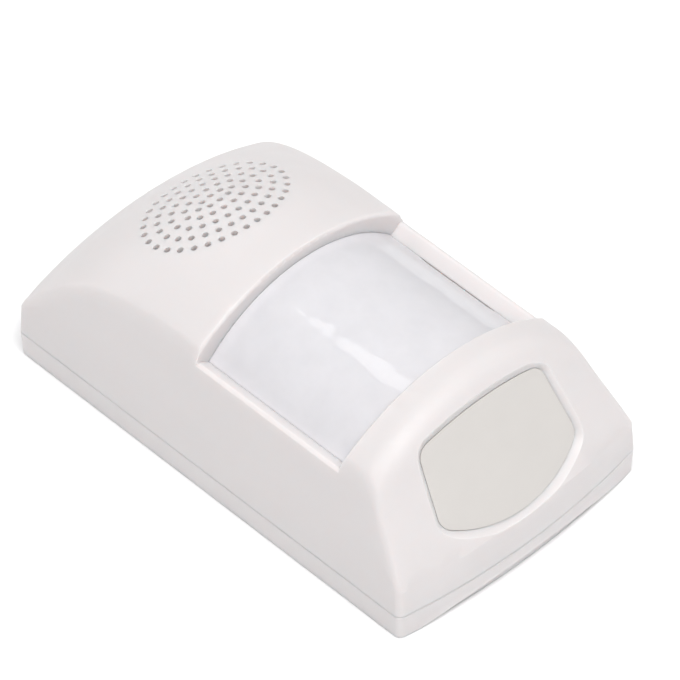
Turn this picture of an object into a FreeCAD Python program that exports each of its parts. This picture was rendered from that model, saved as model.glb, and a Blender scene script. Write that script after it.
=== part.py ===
import FreeCAD, Part
import math
import os

os.makedirs("parts", exist_ok=True)
V = FreeCAD.Vector

# Frame: X runs across the width, +Y towards the sound grille, +Z away from the wall.
# The origin is the middle of the back face. All sizes are in millimetres.

# Outline of the casing at the parting line
width = 65.0
corner_length = 108.6
end_bulge = 3.2
corner_radius = 1.6

# Heights and drafts of the two shells
rear_depth = 6.0
lower_band = 7.6
crown_height = 40.2
rear_draft = 2.5
lower_draft = 2.8
upper_draft = 15.0
wall = 2.0
floor = 2.0

# Front surface: a crown that rolls down at both ends and arches across
far_roll_run = 39.2
far_roll_radius = 48.0
far_slope = 62.0
near_roll_run = 16.3
near_roll_radius = 6.5
near_slope = 59.5
crown_arch_radius = 46.0
far_arch_radius = 70.0
near_arch_radius = 80.0
far_arch_blend = 34.5
near_arch_blend = 13.0
ridge_round = 1.3
ridge_bend = 0.5
edge_round = 0.9
round_lift = 0.06
seam_bevel = 0.3

# Recess and lens
recess_length = 40.0
recess_from_near = 20.8
recess_step = 3.0
ledge_slope = 34.0
ledge_thickness = 2.2
lens_radius = 34.3
lens_half_width = 24.6
lens_film = 0.6
lens_lap = 1.7
lens_leg = 2.4

# Frame that holds the lens from inside
frame_rail = 1.9
frame_rail_gap = 0.2
frame_flange = 1.6
frame_drop = 0.25
frame_arch = 2.0
frame_arch_width = 2.6
frame_reach = 2.45
frame_screw_out = 1.2
frame_screw_inset = 6.0
ledge_floor = 0.5

# Light window
window_depth = 1.2
window_bevel = 1.6
window_top = 8.45
window_bottom = -16.15
window_top_half = 16.5
window_bottom_half = 18.5
window_top_sag = 2.1
window_bottom_sag = 6.2
window_corner = 3.6
window_flange = 1.4
window_flange_thickness = 1.0

# Sound grille, duct and speaker
grille_from_far = 23.75
grille_rings = 5
grille_first_holes = 8
grille_more_holes = 6
grille_first_x = 4.5
grille_first_y = 1.4
grille_pitch_x = 2.85
grille_pitch_y = 2.68
grille_hole = 1.3
speaker_shift = 3.45
duct_margin = 1.3
duct_wall = 1.4
duct_end = 15.5
gasket_thickness = 0.8
gasket_lap = 0.6
speaker_flange = 1.2
speaker_depth = 7.6
basket_radius = 12.0
basket_sheet = 0.8
basket_drop = 4.2
magnet_radius = 9.0
magnet_height = 3.0
magnet_lap = 2.0
surround_width = 2.6
surround_seat = 0.6
surround_lap = 0.9
surround_run = 2.4
cone_thickness = 0.4
cone_drop = 2.2
dome_radius = 7.0
dome_rise = 1.6
clamp_thickness = 1.6
clamp_ring = 2.6
clamp_ear_out = 3.2
clamp_gap = 0.3

# Clearances between pieces, and how far a cutter passes the piece it cuts
fit_gap = 0.15
snug_gap = 0.05
clear_gap = 0.25
hole_gap = 0.2
tip_gap = 0.4
post_gap = 0.6
cut_past = 1.0

# Fasteners
post_radius = 3.1
post_inset = 7.3
post_from_corner = 8.3
screw_radius = 1.25
screw_head_radius = 2.4
screw_head = 1.6
screw_grip = 9.0
head_seat = 2.6
small_screw_radius = 0.9
small_head_radius = 1.8
small_head = 1.2
small_grip = 4.0
board_grip = 3.4
slot_width = 0.5

# Wall screw holes through the floor
wall_hole_radius = 2.2
wall_hole_spacing = 84.0
wall_hole_shift = -8.0

# Register lip and finger relief of the rear casing
lip_height = 2.6
lip_thickness = 1.2
lip_foot = 1.6
relief_height = 2.8
relief_depth = 0.9
relief_inset = 4.8

# Main board
board_height = 5.0
board_thickness = 1.6
board_side_gap = 1.0
board_inset = 9.3
board_speaker_gap = 3.7
standoff_radius = 2.6
standoff_x = 9.1

# Heat sensor in its holder, a little off the middle of the recess
sensor_shift = 1.5
sensor_radius = 4.4
sensor_height = 4.2
sensor_rim = 0.7
sensor_rim_height = 0.5
can_round = 0.4
filter_size = 4.6
filter_width = 3.4
filter_rise = 0.25
holder_radius = 5.8
holder_height = 2.4
holder_wall = 1.4
holder_cap = 0.8

# Control chip, radio module and capacitors, placed from the heat sensor
chip_size = 7.0
chip_height = 1.2
chip_stand = 0.1
chip_away = 13.5
chip_pins = 8
chip_pitch = 0.8
chip_pin_reach = 0.9
chip_pin_width = 0.3
chip_pin_height = 0.5
radio_width = 14.0
radio_length = 11.0
radio_height = 2.4
radio_away = 13.5
radio_board = 0.8
radio_margin = 0.6
radio_aerial = 2.6
capacitor_radius = 2.5
capacitor_height = 7.0
capacitor_x = 7.4
capacitor_away = 7.5

# Batteries, their trays and contacts
battery_radius = 7.1
battery_length = 50.0
battery_round = 0.5
battery_nub = 2.7
battery_nub_height = 1.0
tray_wall = 1.2
tray_floor = 1.0
tray_gap = 0.1
tray_rise = 1.5
tray_margin = 0.7
tray_side_gap = 0.15
spring_room = 3.6
spring_wire = 0.45
spring_radius = 3.6
spring_turns = 4
contact_thickness = 0.4
contact_half = 4.0

# Speaker leads and their socket
lead_radius = 0.5
lead_x = 1.3
lead_bend = 2.0
socket_inset = 7.9
socket_half = 2.6
socket_width = 3.4
socket_height = 2.8

# Light board behind the window, with its bracket and connector
lamp_board_gap = 10.5
lamp_board_low = 2.2
lamp_board_half = 10.5
lamp_board_length = 15.0
lamp_board_thickness = 1.2
lamp_width = 3.5
lamp_length = 2.8
lamp_height = 1.0
lamp_columns = 3
lamp_rows = 2
lamp_pitch_x = 7.0
lamp_pitch_y = 6.0
bracket_half = 6.4
bracket_wall = 1.6
bracket_short = 2.0
connector_half = 5.0
connector_depth = 2.0
connector_back = 0.5
connector_height = 3.0

# Outline and front surface, worked out from the driving sizes
half_width = width / 2
half_corner = corner_length / 2
end_radius = (half_width ** 2 + end_bulge ** 2) / (2 * end_bulge)
end_y = half_corner + end_bulge
crease_height = rear_depth + lower_band
lower_inset = lower_band * math.tan(math.radians(lower_draft))
rear_inset = rear_depth * math.tan(math.radians(rear_draft))
far_roll_start = half_corner - far_roll_run
near_roll_start = -half_corner + near_roll_run
recess_near = -half_corner + recess_from_near
recess_far = recess_near + recess_length
lens_top = crown_height - recess_step
lens_axis = lens_top - lens_radius
lens_side = lens_axis + math.sqrt(lens_radius ** 2 - lens_half_width ** 2)
ledge_under = lens_side - ledge_thickness
frame_grip = ledge_thickness - ledge_floor

# Places of the inner pieces, worked out from the driving sizes
post_x = half_width - post_inset
post_y = half_corner - post_from_corner
grille_y = half_corner - grille_from_far
grille_half_x = grille_first_x + (grille_rings - 1) * grille_pitch_x
speaker_y = grille_y + speaker_shift
duct_radius = math.hypot(grille_half_x, speaker_shift) + grille_hole / 2 + duct_margin
speaker_radius = duct_radius + duct_wall
speaker_top = duct_end - gasket_thickness
clamp_top = speaker_top - speaker_flange
clamp_ear = speaker_radius + clamp_ear_out
board_top = board_height + board_thickness
board_half_width = half_width - wall - fit_gap - lip_thickness - board_side_gap
board_near = -half_corner + board_inset
board_far = speaker_y - basket_radius - basket_sheet - board_speaker_gap
socket_y = board_far - socket_inset
sensor_y = (recess_near + recess_far) / 2 + sensor_shift
chip_y = sensor_y + chip_away
radio_y = sensor_y - radio_away
capacitor_y = sensor_y + capacitor_away
battery_x = board_half_width - tray_side_gap - tray_wall - tray_gap - battery_radius
battery_z = board_top + tray_floor + battery_radius
battery_far = board_far - tray_margin - tray_wall - spring_room
battery_near = battery_far - battery_length


def write(shape, name):
    """Writes one named piece as a STEP file."""
    shape.exportStep("parts/" + name + ".step")


def box(x0, x1, y0, y1, z0, z1):
    return Part.makeBox(x1 - x0, y1 - y0, z1 - z0, V(x0, y0, z0))


def rod(radius, x, y, z0, z1):
    return Part.makeCylinder(radius, z1 - z0, V(x, y, z0))


def joined(shapes):
    whole = shapes[0]
    for shape in shapes[1:]:
        whole = whole.fuse(shape)
    return whole.removeSplitter()


# Outline with straight sides, arched ends and rounded corners

def outline_wire(inset, z):
    side = half_width - inset
    big = end_radius - inset
    centre = end_y - end_radius
    small = corner_radius
    corner_y = centre + math.sqrt((big - small) ** 2 - (side - small) ** 2)
    reach = math.hypot(side - small, corner_y - centre)
    touch_x = (side - small) * big / reach
    touch_y = centre + (corner_y - centre) * big / reach
    lean = math.atan2(corner_y - centre, side - small) / 2
    mid_x = side - small + small * math.cos(lean)
    mid_y = corner_y + small * math.sin(lean)

    def p(x, y):
        return V(x, y, z)

    def arc(a, b, c):
        return Part.Arc(a, b, c).toShape()

    edges = [
        Part.makeLine(p(side, -corner_y), p(side, corner_y)),
        arc(p(side, corner_y), p(mid_x, mid_y), p(touch_x, touch_y)),
        arc(p(touch_x, touch_y), p(0, centre + big), p(-touch_x, touch_y)),
        arc(p(-touch_x, touch_y), p(-mid_x, mid_y), p(-side, corner_y)),
        Part.makeLine(p(-side, corner_y), p(-side, -corner_y)),
        arc(p(-side, -corner_y), p(-mid_x, -mid_y), p(-touch_x, -touch_y)),
        arc(p(-touch_x, -touch_y), p(0, -centre - big), p(touch_x, -touch_y)),
        arc(p(touch_x, -touch_y), p(mid_x, -mid_y), p(side, -corner_y)),
    ]
    return Part.Wire(edges)


def tapered(inset0, z0, inset1, z1):
    return Part.makeLoft([outline_wire(inset0, z0), outline_wire(inset1, z1)], True, True)


# Front surface as a height over each point of the plan

def smooth(t):
    t = min(max(t, 0.0), 1.0)
    return t * t * (3 - 2 * t)


def roll_drop(run, radius, slope):
    """Drop of a round roll that ends in a straight slope."""
    angle = math.radians(slope)
    turn = radius * math.sin(angle)
    if run <= 0:
        return 0.0
    if run < turn:
        return radius - math.sqrt(radius ** 2 - run ** 2)
    return radius * (1 - math.cos(angle)) + (run - turn) * math.tan(angle)


def front_height(x, y):
    drop = roll_drop(y - far_roll_start, far_roll_radius, far_slope)
    drop += roll_drop(near_roll_start - y, near_roll_radius, near_slope)
    far_part = smooth((y - half_corner + far_arch_blend) / far_arch_blend)
    near_part = smooth((-y - half_corner + near_arch_blend) / near_arch_blend)
    bend = (1 - far_part - near_part) / crown_arch_radius
    bend += far_part / far_arch_radius + near_part / near_arch_radius
    arch = 1 / bend
    return crown_height - drop - (arch - math.sqrt(arch ** 2 - x ** 2))


def offset_height(x, y, depth):
    """Height of the front surface moved inwards by a wall thickness."""
    step = 0.05
    slope_x = (front_height(x + step, y) - front_height(x - step, y)) / (2 * step)
    slope_y = (front_height(x, y + step) - front_height(x, y - step)) / (2 * step)
    return front_height(x, y) - depth * math.sqrt(1 + slope_x ** 2 + slope_y ** 2)


def upper_inset(z):
    return lower_inset + (z - crease_height) * math.tan(math.radians(upper_draft))


def ridge_place(y):
    """Half width at which the front surface meets the side walls."""
    x = half_width
    for _ in range(30):
        x = half_width - upper_inset(front_height(x, y))
    return x


def ridge_drop(x, ridge):
    """Extra drop that rounds the front surface over towards the side walls."""
    run = max(abs(x) - ridge + ridge_round, 0.0)
    if run < ridge_round:
        return ridge_bend * run * run
    return ridge_bend * ridge_round * (2 * run - ridge_round)


def above_front(depth):
    """Everything above the front surface, or above a copy of it set inwards."""
    margin = 3.0
    rows = 56
    along = end_y + margin
    inner = [i / 12 for i in range(13)]
    outer = [0.25, 0.5, 0.75, 1.0, 1.5, 2.5]
    half = [(share, 0.0) for share in inner] + [(1.0, step) for step in outer]
    columns = [(-share, -step) for share, step in reversed(half[1:])] + half
    grid = []
    for share, step in columns:
        line = []
        for j in range(rows + 1):
            y = -along + 2 * along * j / rows
            ridge = ridge_place(y)
            x = share * (ridge - ridge_round) + step * ridge_round
            round_over = ridge_drop(x, ridge) if depth == 0 else 0.0
            line.append(V(x, y, offset_height(x, y, depth) - round_over))
        grid.append(line)
    surface = Part.BSplineSurface()
    surface.interpolate(grid)
    return surface.toShape().extrude(V(0, 0, 2 * crown_height))


def front_body(inset, depth, low):
    """Solid of the front housing's outer form, or of its cavity."""
    top = crown_height + cut_past
    band_inset = inset + (low - rear_depth) * math.tan(math.radians(lower_draft))
    lower = tapered(band_inset, low, inset + lower_inset, crease_height)
    upper = tapered(inset + lower_inset, crease_height, inset + upper_inset(top), top)
    return lower.fuse(upper).cut(above_front(depth))


def seam_cutter(z, up):
    """Ring that bevels a shell's outer edge at the parting line."""
    ring = box(-width, width, -2 * end_y, 2 * end_y, min(z, z + up), max(z, z + up))
    return ring.cut(tapered(seam_bevel, z, 0, z + up))


def recess_edge_rounds():
    """Rounds the crown's edge at both end walls of the recess."""
    cutters = []
    sweep = 120
    for y, away in ((recess_far, 1), (recess_near, -1)):
        z = crown_height + round_lift
        a = V(0, y, z - edge_round)
        b = V(0, y + away * edge_round, z)
        sag = edge_round * (1 - math.sqrt(0.5))
        middle = V(0, y + away * sag, z - sag)
        past = V(0, y - away * edge_round, z + edge_round)
        edges = [
            Part.Arc(a, middle, b).toShape(),
            Part.makeLine(b, V(0, b.y, past.z)),
            Part.makeLine(V(0, b.y, past.z), past),
            Part.makeLine(past, V(0, past.y, a.z)),
            Part.makeLine(V(0, past.y, a.z), a),
        ]
        profile = Part.Face(Part.Wire(edges))
        axis = V(0, 0, crown_height - crown_arch_radius)
        profile.rotate(axis, V(0, 1, 0), -sweep / 2)
        cutters.append(profile.revolve(axis, V(0, 1, 0), sweep))
    return cutters


# Light window: its outline lies in a plane that follows the slope of the near face

def tilted(shape):
    """Turns a shape drawn flat so that it lies along the near face."""
    turned = shape.copy()
    turned.rotate(V(0, 0, 0), V(1, 0, 0), near_slope)
    return turned


def window_prism(grow, low, high):
    """Upright prism of the window's outline, before it is tilted."""
    top = window_top + grow
    bottom = window_bottom - grow
    a = V(-window_top_half - grow, top - window_top_sag, low)
    b = V(window_top_half + grow, top - window_top_sag, low)
    c = V(window_bottom_half + grow, bottom + window_bottom_sag, low)
    d = V(-window_bottom_half - grow, bottom + window_bottom_sag, low)
    edges = [
        Part.Arc(a, V(0, top, low), b).toShape(),
        Part.makeLine(b, c),
        Part.Arc(c, V(0, bottom, low), d).toShape(),
        Part.makeLine(d, a),
    ]
    prism = Part.Face(Part.Wire(edges)).extrude(V(0, 0, high - low))
    upright = [e for e in prism.Edges if abs(e.tangentAt(e.FirstParameter).z) > 0.99]
    return prism.makeFillet(window_corner + grow, upright)


def face_level(x, s):
    """Distance of the front surface from the tilted base plane at a window point."""
    angle = math.radians(near_slope)
    low = 0.0
    high = 2 * crown_height
    for _ in range(50):
        level = (low + high) / 2
        y = s * math.cos(angle) - level * math.sin(angle)
        z = s * math.sin(angle) + level * math.cos(angle)
        if z < front_height(x, y):
            low = level
        else:
            high = level
    return low


def bevel_cutter():
    """Sloped rim around the window, the same width all round."""
    count = 72
    prism = window_prism(0, 0, 1)
    bottom = [f for f in prism.Faces if f.CenterOfMass.z < 1e-6][0]
    points = bottom.OuterWire.discretize(Number=count + 1)[:-1]
    levels = [face_level(p.x, p.y) for p in points]
    rate = window_bevel / window_depth
    middle = V(0, (window_top + window_bottom) / 2, 0)

    def ring(level):
        moved = []
        for i, p in enumerate(points):
            along = points[(i + 1) % count] - points[i - 1]
            out = V(along.y, -along.x, 0)
            out.normalize()
            if out.dot(p - middle) < 0:
                out = out * -1
            grow = rate * (level - levels[i] + window_depth)
            moved.append(V(p.x + out.x * grow, p.y + out.y * grow, level))
        curve = Part.BSplineCurve()
        curve.interpolate(Points=moved, PeriodicFlag=True)
        return Part.Wire([curve.toShape()])

    low = min(levels) - window_depth - clear_gap
    high = max(levels) + clear_gap
    return tilted(Part.makeLoft([ring(low), ring(high)], True, True))


# Lens recess in the front housing

def lens_space():
    """Room for the lens sheet under the two end walls of the recess."""
    radius = lens_radius + fit_gap
    half = lens_half_width + fit_gap
    near = recess_near - wall
    far = recess_far + wall
    tube = Part.makeCylinder(radius, far - near, V(0, near, lens_axis), V(0, 1, 0))
    return tube.common(box(-half, half, near, far, ledge_under - cut_past, lens_top + cut_past))


def recess_void():
    """Open space above the lens and its two sloping side ledges."""
    inner = lens_half_width + fit_gap
    outer = half_width + cut_past
    low = ledge_under - cut_past
    high = crown_height + cut_past
    start, middle, end = ledge_crest()

    def p(x, z):
        return V(x, recess_near, z)

    def side(sign):
        a = p(sign * inner, low)
        b = p(sign * inner, lens_side)
        c = p(sign * start[0], start[1])
        d = p(sign * middle[0], middle[1])
        e = p(sign * end[0], end[1])
        f = p(sign * outer, end[1])
        g = p(sign * outer, high)
        lines = [Part.makeLine(a, b), Part.makeLine(b, c), Part.Arc(c, d, e).toShape()]
        return lines + [Part.makeLine(e, f), Part.makeLine(f, g)]

    edges = side(1) + side(-1)
    edges.append(Part.makeLine(p(-inner, low), p(inner, low)))
    edges.append(Part.makeLine(p(-outer, high), p(outer, high)))
    face = Part.Face(Part.Wire(Part.__sortEdges__(edges)))
    return face.extrude(V(0, recess_length, 0))


def ledge_crest():
    """Start, middle and end of the round where a ledge meets the side wall."""
    slope = math.radians(ledge_slope)
    draft = math.radians(upper_draft)
    ledge_out = (-math.sin(slope), math.cos(slope))
    wall_out = (math.cos(draft), math.sin(draft))
    ledge_point = (lens_half_width + fit_gap, lens_side)
    wall_point = (half_width - lower_inset + round_lift, crease_height)
    a = ledge_point[0] * ledge_out[0] + ledge_point[1] * ledge_out[1] - edge_round
    b = wall_point[0] * wall_out[0] + wall_point[1] * wall_out[1] - edge_round
    span = ledge_out[0] * wall_out[1] - ledge_out[1] * wall_out[0]
    x = (a * wall_out[1] - b * ledge_out[1]) / span
    z = (b * ledge_out[0] - a * wall_out[0]) / span
    between = (ledge_out[0] + wall_out[0], ledge_out[1] + wall_out[1])
    size = math.hypot(between[0], between[1])
    outs = (ledge_out, (between[0] / size, between[1] / size), wall_out)
    return [(x + edge_round * out[0], z + edge_round * out[1]) for out in outs]


def grille_holes():
    """Holes in oval rings, evenly spaced along each ring from its end on +X."""
    holes = []
    for ring in range(grille_rings):
        count = grille_first_holes + ring * grille_more_holes
        half_x = grille_first_x + ring * grille_pitch_x
        half_y = grille_first_y + ring * grille_pitch_y
        oval = Part.Ellipse(V(0, grille_y, 0), half_x, half_y).toShape()
        for p in oval.discretize(Number=count + 1)[:-1]:
            holes.append(rod(grille_hole / 2, p.x, p.y, crease_height, crown_height + cut_past))
    return Part.makeCompound(holes)


def corner_places():
    return [(sx * post_x, sy * post_y) for sx in (1, -1) for sy in (1, -1)]


def front_housing(outer, cavity):
    shell = outer.cut(cavity).cut(seam_cutter(rear_depth, seam_bevel))
    near = recess_near - wall
    far = recess_far + wall
    block = outer.common(box(-half_width, half_width, near, far, ledge_under, crown_height))
    inside = front_body(wall / 2, wall / 2, rear_depth + fit_gap)
    duct = rod(duct_radius + duct_wall, 0, speaker_y, duct_end, crown_height)
    duct = duct.cut(rod(duct_radius, 0, speaker_y, duct_end, crown_height))
    inner_parts = [duct]
    for side in (1, -1):
        inner_parts.append(rod(clamp_ring, side * clamp_ear, speaker_y, clamp_top, crown_height))
    for x, y in corner_places():
        inner_parts.append(rod(post_radius, x, y, rear_depth + fit_gap, crown_height))
    inner_parts = [part.common(inside) for part in inner_parts]
    whole = joined([shell, block] + inner_parts)
    whole = whole.cut(recess_void()).cut(lens_space())
    for cutter in recess_edge_rounds():
        whole = whole.cut(cutter)
    whole = whole.cut(tilted(window_prism(0, 0, 2 * crown_height))).cut(bevel_cutter())
    for x, y in corner_places():
        whole = whole.cut(rod(screw_radius, x, y, rear_depth, rear_depth + screw_grip))
    for side in (1, -1):
        tip = clamp_top + small_grip
        whole = whole.cut(rod(small_screw_radius, side * clamp_ear, speaker_y, clamp_top, tip))
    for x, y in frame_places():
        low = ledge_under - cut_past
        whole = whole.cut(rod(small_screw_radius, x, y, low, ledge_under + frame_grip))
    return whole.cut(grille_holes())


def light_window(cavity):
    """Milky cover that fills the opening, with a flange behind the wall."""
    reach = 2 * crown_height
    plug = tilted(window_prism(-fit_gap, 0, reach))
    plug = plug.cut(above_front(window_depth))
    seat = wall + snug_gap
    plug = plug.common(above_front(seat))
    flange = tilted(window_prism(window_flange, 0, reach))
    flange = flange.cut(above_front(seat)).common(above_front(seat + window_flange_thickness))
    return plug.fuse(flange.common(cavity)).removeSplitter()


# Lens sheet and the frame that holds it from inside

def fresnel_lens():
    half = lens_half_width - snug_gap
    inner = half - lens_film
    top = lens_top
    side = lens_axis + math.sqrt(lens_radius ** 2 - half ** 2)
    inside = lens_radius - lens_film
    inner_side = lens_axis + math.sqrt(inside ** 2 - inner ** 2)
    foot = lens_side - lens_leg
    y = recess_near - lens_lap

    def p(x, z):
        return V(x, y, z)

    edges = [
        Part.Arc(p(-half, side), p(0, top), p(half, side)).toShape(),
        Part.makeLine(p(half, side), p(half, foot)),
        Part.makeLine(p(half, foot), p(inner, foot)),
        Part.makeLine(p(inner, foot), p(inner, inner_side)),
        Part.Arc(p(inner, inner_side), p(0, top - lens_film), p(-inner, inner_side)).toShape(),
        Part.makeLine(p(-inner, inner_side), p(-inner, foot)),
        Part.makeLine(p(-inner, foot), p(-half, foot)),
        Part.makeLine(p(-half, foot), p(-half, side)),
    ]
    face = Part.Face(Part.Wire(edges))
    return face.extrude(V(0, recess_length + 2 * lens_lap, 0))


def frame_places():
    x = lens_half_width + frame_screw_out
    rows = (recess_near + frame_screw_inset, recess_far - frame_screw_inset)
    return [(side * x, y) for side in (1, -1) for y in rows]


def lens_frame():
    """Flange under the ledges, with an arch at each end that backs the lens."""
    rail_outer = lens_half_width - lens_film - frame_rail_gap
    rail_inner = rail_outer - frame_rail
    near = recess_near - lens_lap
    far = recess_far + lens_lap
    open_near = near + frame_arch_width
    open_far = far - frame_arch_width
    top = ledge_under - frame_drop
    low = top - frame_flange
    wide = lens_half_width + frame_reach
    flange = box(-wide, wide, near, far, low, top)
    flange = flange.cut(box(-rail_inner, rail_inner, open_near, open_far, low, top))
    radius = lens_radius - lens_film - snug_gap
    axis = V(0, near, lens_axis)
    arch = Part.makeCylinder(radius, far - near, axis, V(0, 1, 0))
    core = Part.makeCylinder(radius - frame_arch, far - near, axis, V(0, 1, 0))
    arch = arch.cut(core).common(box(-rail_outer, rail_outer, near, far, low, lens_top))
    arch = arch.cut(box(-rail_outer, rail_outer, open_near, open_far, low, lens_top))
    flange = flange.cut(core.common(box(-rail_inner, rail_inner, near, far, low, top)))
    pads = [rod(frame_screw_out, x, y, top, ledge_under) for x, y in frame_places()]
    whole = joined([flange, arch] + pads)
    for x, y in frame_places():
        whole = whole.cut(rod(small_screw_radius + hole_gap / 2, x, y, low, ledge_under))
    return whole


# Screws

def screw(x, y, head_z, shank_radius, head_radius, head, length):
    """Pan screw that points up, with its head below head_z."""
    body = rod(shank_radius, x, y, head_z, head_z + length)
    cap = rod(head_radius, x, y, head_z - head, head_z)
    half = slot_width / 2
    slot = box(x - head_radius, x + head_radius, y - half, y + half, head_z - head, head_z - head / 2)
    return body.fuse(cap.cut(slot)).removeSplitter()


def lens_frame_screws():
    z = ledge_under - frame_drop - frame_flange
    length = frame_drop + frame_flange + frame_grip
    sizes = (small_screw_radius, small_head_radius, small_head, length)
    return Part.makeCompound([screw(x, y, z, *sizes) for x, y in frame_places()])


# Rear casing

def register_lip():
    """Lip inside the front housing that lines the two shells up, with its foot."""
    gap = wall + fit_gap
    low = rear_depth - lip_foot
    top = rear_depth + lip_height
    inner = gap + lip_thickness
    foot = tapered(wall / 2, low, wall / 2, rear_depth).cut(tapered(inner, low, inner, rear_depth))
    ring = tapered(gap, rear_depth, gap + lower_inset, crease_height)
    ring = ring.cut(tapered(inner, rear_depth, inner + lower_inset, crease_height))
    slab = box(-half_width, half_width, -end_y, end_y, rear_depth, top)
    return foot.fuse(ring.common(slab))


def finger_relief():
    """Shallow relief along the lower edge of the near end."""
    chord = half_width - relief_inset
    radius = (chord ** 2 + relief_height ** 2) / (2 * relief_height)
    near = -end_y - cut_past
    disc = Part.makeCylinder(radius, -near, V(0, near, relief_height - radius), V(0, 1, 0))
    band = disc.common(box(-half_width, half_width, near, 0, 0, relief_height))
    inner = rear_inset + relief_depth
    return band.cut(tapered(inner, 0, inner, rear_depth))


def rear_casing():
    tray = tapered(rear_inset, 0, 0, rear_depth)
    tray = tray.cut(tapered(rear_inset + wall, floor, wall, rear_depth))
    tray = tray.cut(finger_relief()).cut(seam_cutter(rear_depth, -seam_bevel))
    parts = [tray, register_lip()]
    for x, y in corner_places():
        parts.append(rod(post_radius, x, y, floor, rear_depth))
    for x, y in standoff_places():
        parts.append(rod(standoff_radius, x, y, floor, board_height))
    whole = joined(parts)
    for x, y in corner_places():
        whole = whole.cut(rod(screw_radius + clear_gap, x, y, 0, rear_depth))
        whole = whole.cut(rod(screw_head_radius + clear_gap, x, y, 0, head_seat))
    for x, y in standoff_places():
        whole = whole.cut(rod(small_screw_radius, x, y, board_height - board_grip, board_height))
    for side in (1, -1):
        y = wall_hole_shift + side * wall_hole_spacing / 2
        whole = whole.cut(rod(wall_hole_radius, 0, y, 0, floor))
    return whole


def case_screws():
    length = rear_depth + screw_grip - tip_gap - head_seat
    sizes = (screw_radius, screw_head_radius, screw_head, length)
    return Part.makeCompound([screw(x, y, head_seat, *sizes) for x, y in corner_places()])


# Main board and what stands on it

def standoff_places():
    rows = (board_near + standoff_radius, board_far - standoff_radius)
    return [(side * standoff_x, y) for side in (1, -1) for y in rows]


def main_board():
    board = box(-board_half_width, board_half_width, board_near, board_far, board_height, board_top)
    for x, y in corner_places():
        board = board.cut(rod(post_radius + post_gap, x, y, board_height, board_top))
    for x, y in standoff_places():
        board = board.cut(rod(small_screw_radius + hole_gap, x, y, board_height, board_top))
    return board


def board_screws():
    pieces = []
    length = board_thickness + board_grip - tip_gap
    for x, y in standoff_places():
        piece = screw(0, 0, 0, small_screw_radius, small_head_radius, small_head, length)
        piece.rotate(V(0, 0, 0), V(1, 0, 0), 180)
        piece.translate(V(x, y, board_top))
        pieces.append(piece)
    return Part.makeCompound(pieces)


def sensor_holder():
    top = board_top + holder_height
    body = rod(holder_radius, 0, sensor_y, board_top, top)
    return body.cut(rod(holder_radius - holder_wall, 0, sensor_y, board_top, top - holder_cap))


def top_rounded(body, radius):
    """Rounds the edge around the flat top of an upright cylinder."""
    level = body.BoundBox.ZMax - tip_gap
    rims = [e for e in body.Edges if e.BoundBox.ZMin > level]
    return body.makeFillet(radius, rims)


def pyro_sensor():
    base = board_top + holder_height
    rim = rod(sensor_radius + sensor_rim, 0, sensor_y, base, base + sensor_rim_height)
    can = top_rounded(rod(sensor_radius, 0, sensor_y, base, base + sensor_height), can_round)
    return rim.fuse(can).removeSplitter()


def pyro_filter():
    z = board_top + holder_height + sensor_height
    x = filter_size / 2
    y = filter_width / 2
    return box(-x, x, sensor_y - y, sensor_y + y, z, z + filter_rise)


def control_chip():
    half = chip_size / 2
    low = board_top + chip_stand
    body = box(-half, half, chip_y - half, chip_y + half, low, board_top + chip_height)
    pin_half = chip_pin_width / 2
    pin_top = board_top + chip_pin_height
    pins = []
    for i in range(chip_pins):
        shift = (i - (chip_pins - 1) / 2) * chip_pitch
        a = shift - pin_half
        b = shift + pin_half
        for side in (1, -1):
            c, d = sorted((side * half, side * (half + chip_pin_reach)))
            pins.append(box(c, d, chip_y + a, chip_y + b, board_top, pin_top))
            pins.append(box(a, b, chip_y + c, chip_y + d, board_top, pin_top))
    return joined([body] + pins)


def radio_module():
    half = radio_width / 2
    near = radio_y - radio_length / 2
    far = radio_y + radio_length / 2
    base_top = board_top + radio_board
    base = box(-half, half, near, far, board_top, base_top)
    inner = half - radio_margin
    can = box(-inner, inner, near + radio_margin, far - radio_aerial, base_top, board_top + radio_height)
    return base.fuse(can)


def storage_capacitors():
    pieces = []
    top = board_top + capacitor_height
    for side in (1, -1):
        body = rod(capacitor_radius, side * capacitor_x, capacitor_y, board_top, top)
        pieces.append(top_rounded(body, can_round))
    return Part.makeCompound(pieces)


# Batteries in their trays

def tray_end(side, end):
    """Inner end of a tray, at its plate or, past the spring's room, at its spring."""
    flat = battery_far if end > 0 else battery_near
    room = contact_thickness if end == side else spring_room
    return flat + end * room


def battery_holder(side):
    x = side * battery_x
    wide = battery_radius + tray_gap
    half = wide + tray_wall
    near = tray_end(side, -1)
    far = tray_end(side, 1)
    top = battery_z + tray_rise
    tray = box(x - half, x + half, near - tray_wall, far + tray_wall, board_top, top)
    hollow = Part.makeCylinder(wide, far - near, V(x, near, battery_z), V(0, 1, 0))
    return tray.cut(hollow).cut(box(x - wide, x + wide, near, far, battery_z, top))


def battery(side):
    x = side * battery_x
    body_length = battery_length - battery_nub_height
    start = battery_near if side > 0 else battery_near + battery_nub_height
    z = battery_z - snug_gap
    body = Part.makeCylinder(battery_radius, body_length, V(x, start, z), V(0, 1, 0))
    rims = [e for e in body.Edges if e.Curve.TypeId == "Part::GeomCircle"]
    body = body.makeFillet(battery_round, rims)
    nub_y = start + body_length if side > 0 else battery_near
    nub = Part.makeCylinder(battery_nub, battery_nub_height, V(x, nub_y, z), V(0, 1, 0))
    return body.fuse(nub).removeSplitter()


def plate_contact(side):
    x = side * battery_x
    y = battery_far if side > 0 else battery_near - contact_thickness
    return box(x - contact_half, x + contact_half, y, y + contact_thickness,
               battery_z - contact_half, battery_z + contact_half)


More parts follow.
